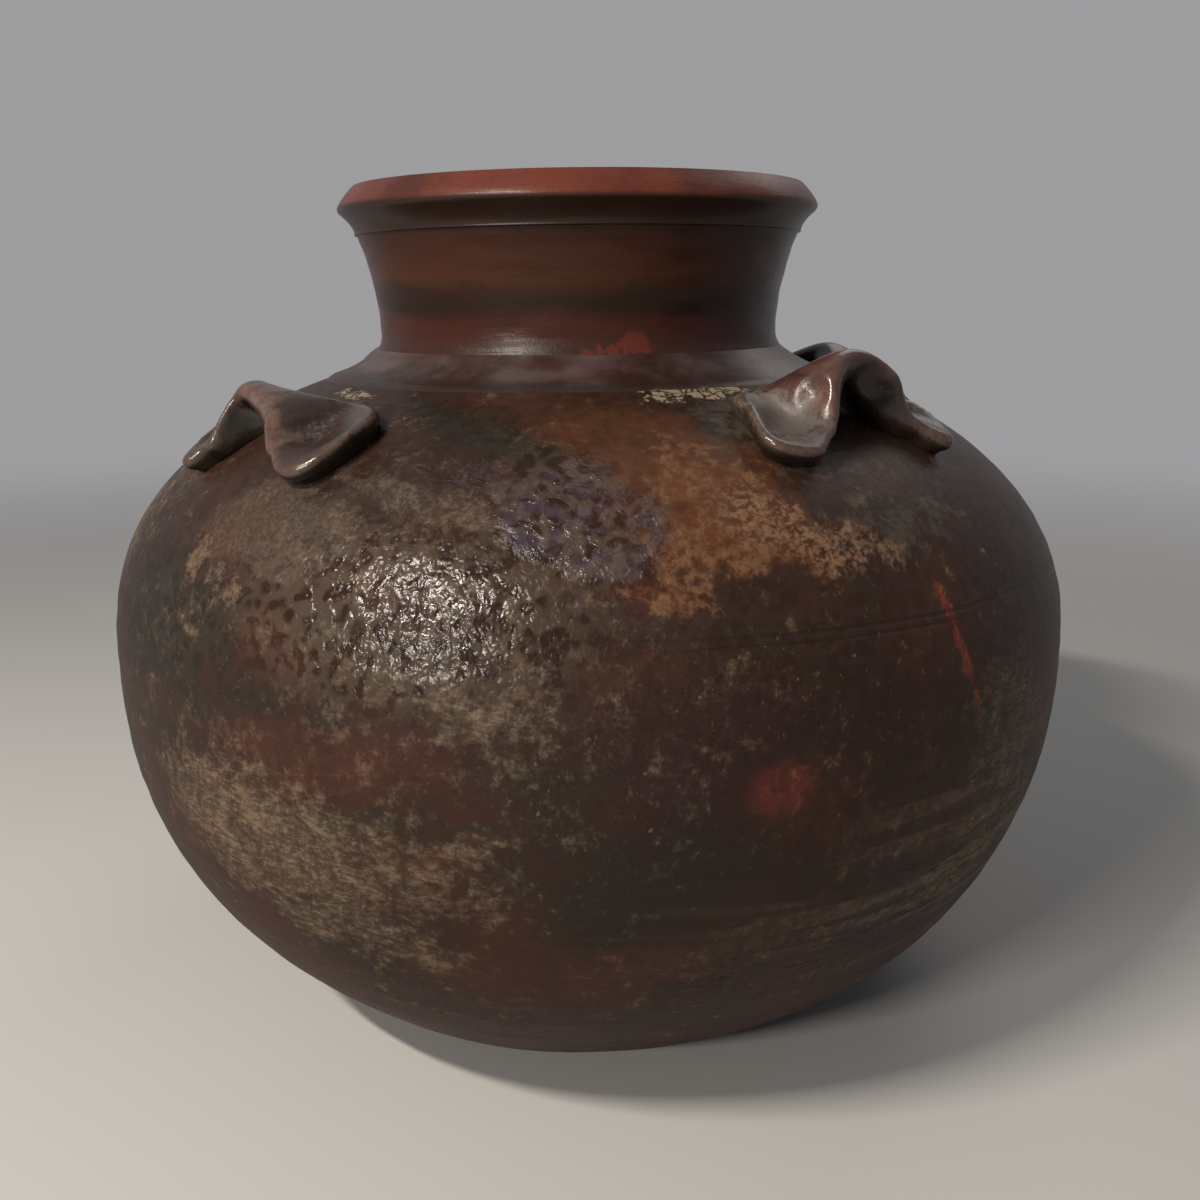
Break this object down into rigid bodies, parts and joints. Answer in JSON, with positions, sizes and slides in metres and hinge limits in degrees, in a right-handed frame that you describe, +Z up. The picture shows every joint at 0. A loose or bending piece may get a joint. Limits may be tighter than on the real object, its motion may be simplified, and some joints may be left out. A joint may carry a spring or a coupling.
{
  "type": "four-handled jar",
  "caption": "Round stoneware storage jar with a flared neck, a bevelled lip and thumb-pressed strap handles on its shoulder for tying down a cover.",
  "frame": {"origin": "middle of the flat underside, on the axis of the round body", "axes": "+Z up along the body's axis; the handles stand near +X, +Y, -X and -Y, and the pictured side faces between +X and -Y"},
  "size_m": [0.4, 0.4, 0.3414],
  "materials": {
    "base_glaze": "bare fired clay, matte, rubbed where it stands",
    "lower_wall_glaze": "thin dark brown glaze, dulled and stained",
    "shoulder_glaze": "dark brown ash glaze, pitted and glossy",
    "collar_glaze": "dark brown glaze, satin",
    "neck_glaze": "reddish brown glaze over turning lines, satin",
    "lip_glaze": "brick-red worn clay, satin",
    "handle_glaze": "dark brown glaze, worn grey and red on its edges"
  },
  "bodies": {
    "root": {"base": "base_glaze", "lower_wall": "lower_wall_glaze", "shoulder": "shoulder_glaze", "collar": "collar_glaze", "neck": "neck_glaze", "lip": "lip_glaze", "handle_front_right": "handle_glaze", "handle_back_right": "handle_glaze", "handle_back_left": "handle_glaze", "handle_front_left": "handle_glaze"}
  },
  "joints": []
}
